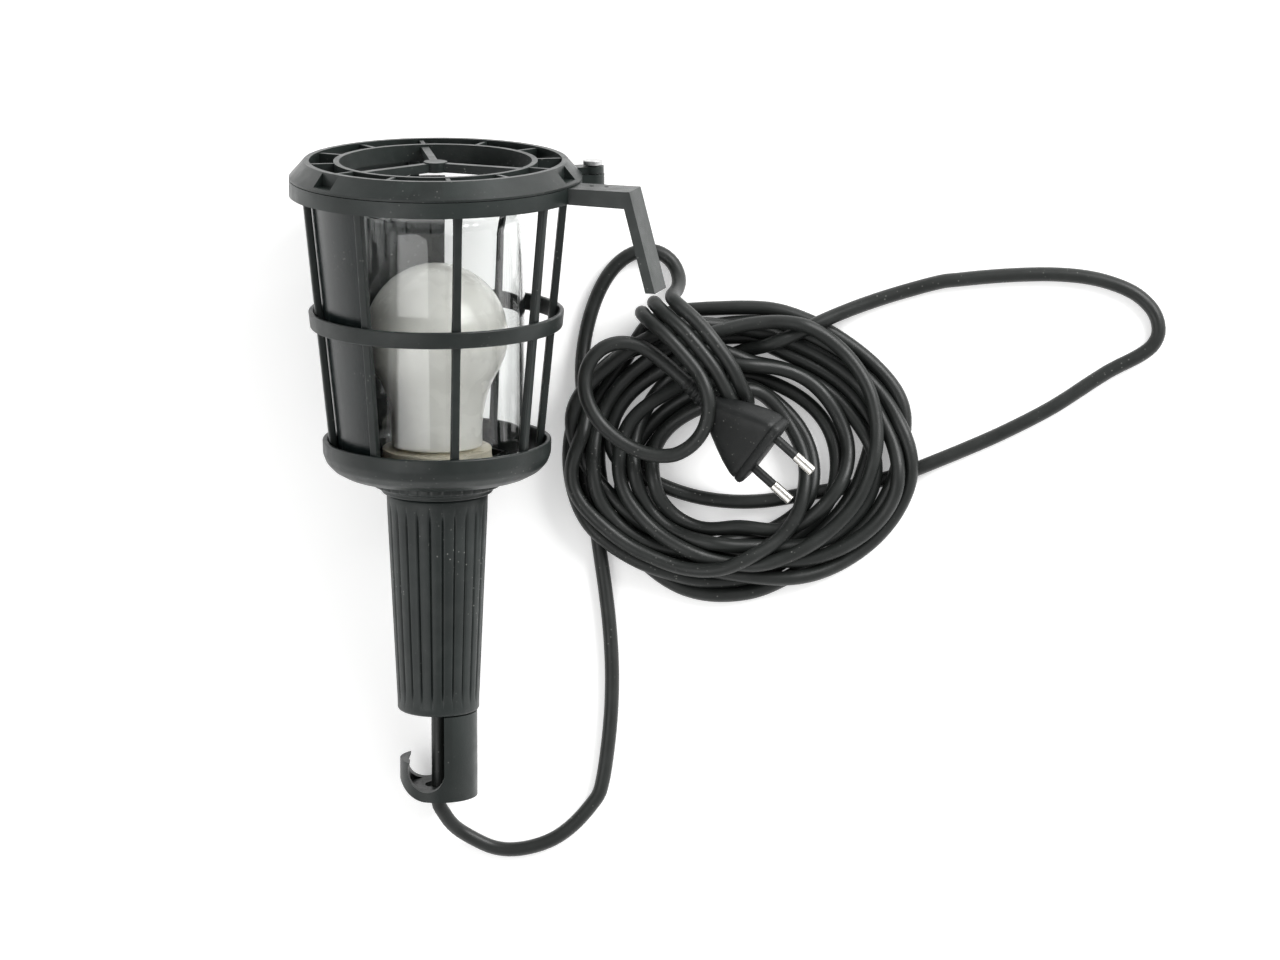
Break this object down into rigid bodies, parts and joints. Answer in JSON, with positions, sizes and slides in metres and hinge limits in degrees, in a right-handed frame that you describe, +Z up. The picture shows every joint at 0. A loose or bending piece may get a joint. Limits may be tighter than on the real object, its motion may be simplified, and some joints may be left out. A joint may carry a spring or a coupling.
{
  "type": "work light",
  "caption": "Caged hand lamp lying on its side, with glass jar, opal bulb, swing lid, side hook arm, swivelling tail hook, ribbed grip and a coiled mains lead with flat plug.",
  "frame": {"origin": "on the surface the lamp lies on, under the middle of the lamp's bounding box, taken without the lead", "axes": "+Z up from the surface; +Y from the tail hook towards the cage; +X towards the side hook arm and the coil"},
  "size_m": [0.3388, 0.2793, 0.1199],
  "materials": {
    "grip_plastic": "ribbed moulded plastic, slightly dusty",
    "housing_plastic": "moulded plastic, satin",
    "inner_plastic": "plain moulded plastic",
    "holder_plastic": "cream thermoset plastic",
    "contact_brass": "plain brass",
    "screw_steel": "zinc plated",
    "bulb_opal": "opal diffuser, soft gloss",
    "cap_metal": "pressed cap",
    "clear_glass": "clear glass",
    "gasket_rubber": "matt rubber",
    "shield_plastic": "smooth dark plastic",
    "cord_rubber": "round sheath, satin",
    "plug_rubber": "moulded plug",
    "pin_metal": "nickel plated brass",
    "wire_sheath": "insulated cores"
  },
  "bodies": {
    "lamp": {"grip": "grip_plastic", "swivel_bush": "inner_plastic", "cord_clamp": "inner_plastic", "clamp_saddle": "inner_plastic", "clamp_screws": "screw_steel", "cord_end": "cord_rubber", "core_wires": "wire_sheath", "socket_housing": "housing_plastic", "collar_nut": "housing_plastic", "lamp_holder": "holder_plastic", "screw_shell": "contact_brass", "centre_contact": "contact_brass", "terminal_screws": "contact_brass", "bulb_globe": "bulb_opal", "bulb_cap": "cap_metal", "jar_gasket": "gasket_rubber", "glass_jar": "clear_glass", "cage_cup": "housing_plastic", "cage_bars": "housing_plastic", "cage_mid_ring": "housing_plastic", "cage_top_ring": "housing_plastic", "glare_shield": "shield_plastic", "hook_arm": "housing_plastic", "arm_screws": "screw_steel", "lid_pin": "screw_steel", "cord_lead": "cord_rubber", "cord_coil": "cord_rubber", "cord_arc": "cord_rubber", "cord_loop": "cord_rubber", "plug_body": "plug_rubber", "plug_pins": "pin_metal", "pin_sleeves": "plug_rubber"},
    "lid": {"lid": "housing_plastic"},
    "tail": {"tail_hook": "housing_plastic"}
  },
  "joints": [
    {"name": "lid_swing", "type": "hinge", "parent": "lamp", "child": "lid", "pos_m": [0.0439, 0.11156, 0.05315], "axis": [0, 0.9782, 0.2078], "range_deg": [0, 135]},
    {"name": "tail_swivel", "type": "hinge", "parent": "lamp", "child": "tail", "pos_m": [-0.01597, -0.10899, 0.0182], "axis": [0, 0.9782, 0.2078], "continuous": true}
  ]
}
